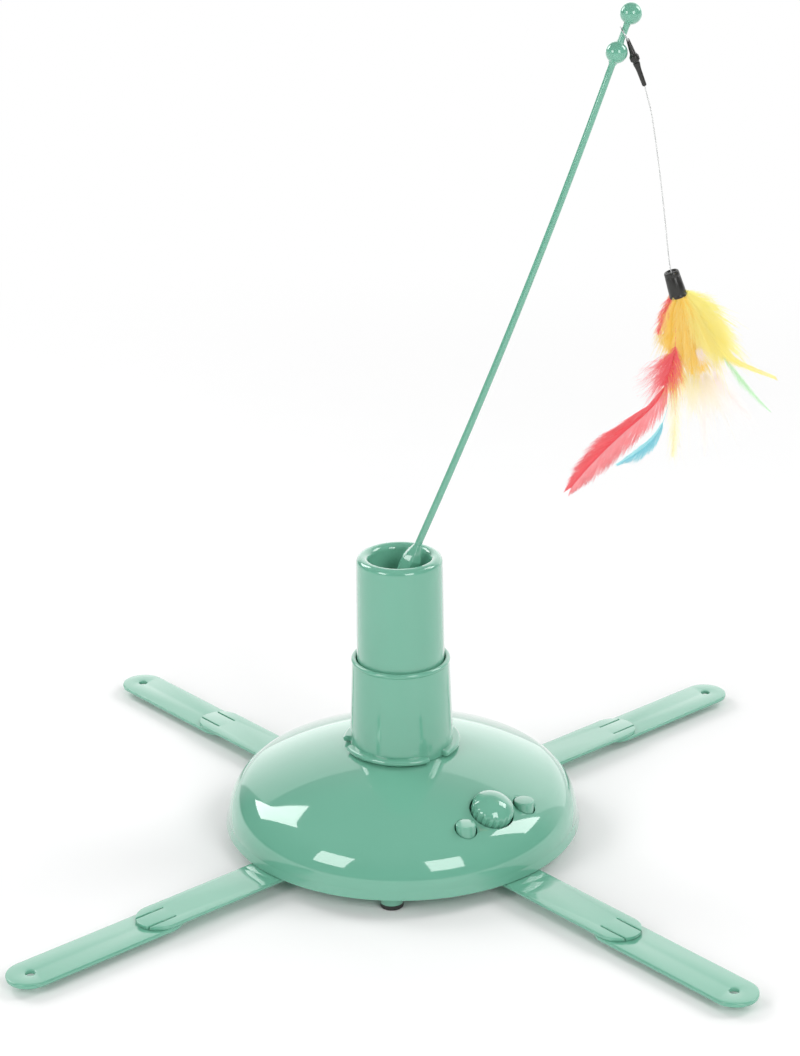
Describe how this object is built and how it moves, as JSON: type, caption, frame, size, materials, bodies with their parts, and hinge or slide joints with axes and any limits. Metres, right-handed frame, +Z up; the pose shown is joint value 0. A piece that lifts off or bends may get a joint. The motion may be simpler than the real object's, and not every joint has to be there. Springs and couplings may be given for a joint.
{
  "type": "motorized cat toy",
  "caption": "Domed battery drive base on fold-out outrigger legs, with a stepped tower that spins a leaning wand and a hanging feather lure.",
  "frame": {"origin": "on the floor under the tower's axis", "axes": "+Z up along the tower; the legs lie along +X, +Y, -X and -Y; the controls are on the +X side of the dome"},
  "size_m": [0.4778, 0.4778, 0.4211],
  "materials": {
    "jade_plastic": "glossy",
    "black_plastic": "satin",
    "steel": "bright",
    "white_plastic": "satin",
    "brass": "bright",
    "rubber": "matt",
    "cell_jacket": "glossy",
    "board_green": "satin",
    "lead_red": "satin",
    "lead_black": "satin",
    "line_grey": "matt",
    "feather_red": "soft",
    "feather_yellow": "soft",
    "feather_blue": "soft",
    "feather_green": "soft",
    "feather_pale": "soft"
  },
  "bodies": {
    "base": {"dome_shell": "jade_plastic", "base_plate": "jade_plastic", "battery_door": "jade_plastic", "battery_cells": "cell_jacket", "battery_contacts": "steel", "door_screw": "steel", "foot_pads": "rubber", "base_screws": "steel", "circuit_board": "board_green", "board_screws": "steel", "tact_switches": "black_plastic", "speed_pot": "black_plastic", "gearbox_base": "white_plastic", "gearbox_cover": "white_plastic", "gearbox_screws": "steel", "motor_can": "steel", "motor_screws": "steel", "axle_pins": "steel", "shaft_bushings": "brass", "tower_lower": "jade_plastic", "tower_upper": "jade_plastic", "leg_inner_1": "jade_plastic", "leg_inner_2": "jade_plastic", "leg_inner_3": "jade_plastic", "leg_inner_4": "jade_plastic", "motor_leads": "lead_red", "battery_leads": "lead_black"},
    "knob": {"speed_knob": "jade_plastic", "pot_shaft": "steel"},
    "timer": {"timer_button": "jade_plastic"},
    "power": {"power_button": "jade_plastic"},
    "rotor": {"output_gear": "white_plastic", "drive_shaft": "steel", "wand_socket": "jade_plastic", "wand": "jade_plastic"},
    "second_wheel": {"second_gear": "white_plastic"},
    "first_wheel": {"first_gear": "white_plastic"},
    "motor_rotor": {"motor_shaft": "steel", "motor_pinion": "brass"},
    "hanger": {"wire_loop": "steel", "swivel_barrel": "black_plastic"},
    "lure": {"swivel_sleeve": "black_plastic", "lure_line": "line_grey", "ferrule": "black_plastic", "feather_red": "feather_red", "feather_yellow": "feather_yellow", "feather_blue": "feather_blue", "feather_green": "feather_green", "feather_pale": "feather_pale"},
    "leg_1": {"leg_outer_1": "jade_plastic"},
    "leg_2": {"leg_outer_2": "jade_plastic"},
    "leg_3": {"leg_outer_3": "jade_plastic"},
    "leg_4": {"leg_outer_4": "jade_plastic"}
  },
  "joints": [
    {"name": "wand_spin", "type": "hinge", "parent": "base", "child": "rotor", "pos_m": [0, 0, 0.06], "axis": [0, 0, 1], "continuous": true},
    {"name": "second_spin", "type": "hinge", "parent": "base", "child": "second_wheel", "pos_m": [0, -0.0192, 0.02], "axis": [0, 0, 1], "continuous": true},
    {"name": "first_spin", "type": "hinge", "parent": "base", "child": "first_wheel", "pos_m": [0.01804, -0.02577, 0.016], "axis": [0, 0, 1], "continuous": true},
    {"name": "motor_spin", "type": "hinge", "parent": "base", "child": "motor_rotor", "pos_m": [0.03038, -0.01106, 0.016], "axis": [0, 0, 1], "continuous": true},
    {"name": "knob_turn", "type": "hinge", "parent": "base", "child": "knob", "pos_m": [0.06858, -0.0015, 0.0369], "axis": [0.4021, -0.0088, 0.9156], "range_deg": [-135, 135]},
    {"name": "timer_press", "type": "slide", "parent": "base", "child": "timer", "axis": [0, 0, -1], "range_m": [0, 0.0015], "stiffness_N_per_m": 500, "springref_m": -0.0005},
    {"name": "power_press", "type": "slide", "parent": "base", "child": "power", "axis": [0, 0, -1], "range_m": [0, 0.0015], "stiffness_N_per_m": 500, "springref_m": -0.0005},
    {"name": "lure_swing", "type": "hinge", "parent": "rotor", "child": "hanger", "pos_m": [0.06925, 0.08022, 0.40707], "axis": [0.757, -0.6534, 0], "range_deg": [0, 60]},
    {"name": "swivel_spin", "type": "hinge", "parent": "hanger", "child": "lure", "pos_m": [0.07313, 0.08472, 0.39334], "axis": [-0.2342, -0.2713, 0.9336], "continuous": true},
    {"name": "leg_fold_1", "type": "hinge", "parent": "base", "child": "leg_1", "pos_m": [0.154, 0, 0.006], "axis": [0, 0, 1], "range_deg": [0, 180]},
    {"name": "leg_fold_2", "type": "hinge", "parent": "base", "child": "leg_2", "pos_m": [0, 0.154, 0.006], "axis": [0, 0, 1], "range_deg": [0, 180]},
    {"name": "leg_fold_3", "type": "hinge", "parent": "base", "child": "leg_3", "pos_m": [-0.154, 0, 0.006], "axis": [0, 0, 1], "range_deg": [0, 180]},
    {"name": "leg_fold_4", "type": "hinge", "parent": "base", "child": "leg_4", "pos_m": [0, -0.154, 0.006], "axis": [0, 0, 1], "range_deg": [0, 180]}
  ],
  "couplings": [
    {"joint": "second_spin", "follows": "wand_spin", "ratio": -3},
    {"joint": "first_spin", "follows": "wand_spin", "ratio": 9},
    {"joint": "motor_spin", "follows": "wand_spin", "ratio": -27}
  ]
}
